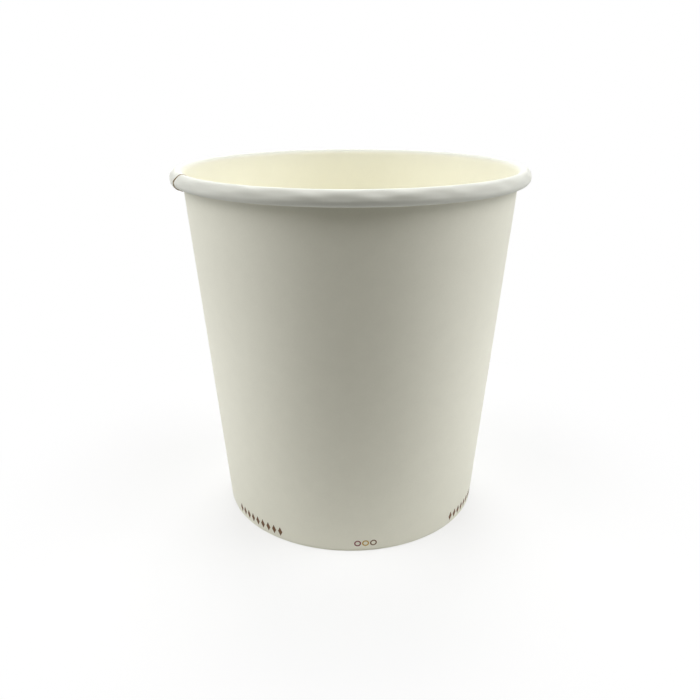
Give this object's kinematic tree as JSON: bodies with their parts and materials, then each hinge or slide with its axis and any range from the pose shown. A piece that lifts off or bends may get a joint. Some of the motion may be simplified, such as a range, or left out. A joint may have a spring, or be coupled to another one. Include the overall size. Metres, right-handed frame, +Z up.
{
  "type": "disposable soup container",
  "caption": "Round tapered paper soup container with a rolled rim, a glued side seam and a recessed bottom disc, open at the top.",
  "frame": {"origin": "centre of the ring that the container stands on, in the base plane", "axes": "+Z up along the container's axis to its open mouth; the cut edge of the side seam is at 206 degrees from +X"},
  "size_m": [0.098, 0.098, 0.1],
  "materials": {
    "wall_board": "matte",
    "bottom_board": "satin"
  },
  "bodies": {
    "root": {"sidewall": "wall_board", "bottom_disc": "bottom_board"}
  },
  "joints": []
}
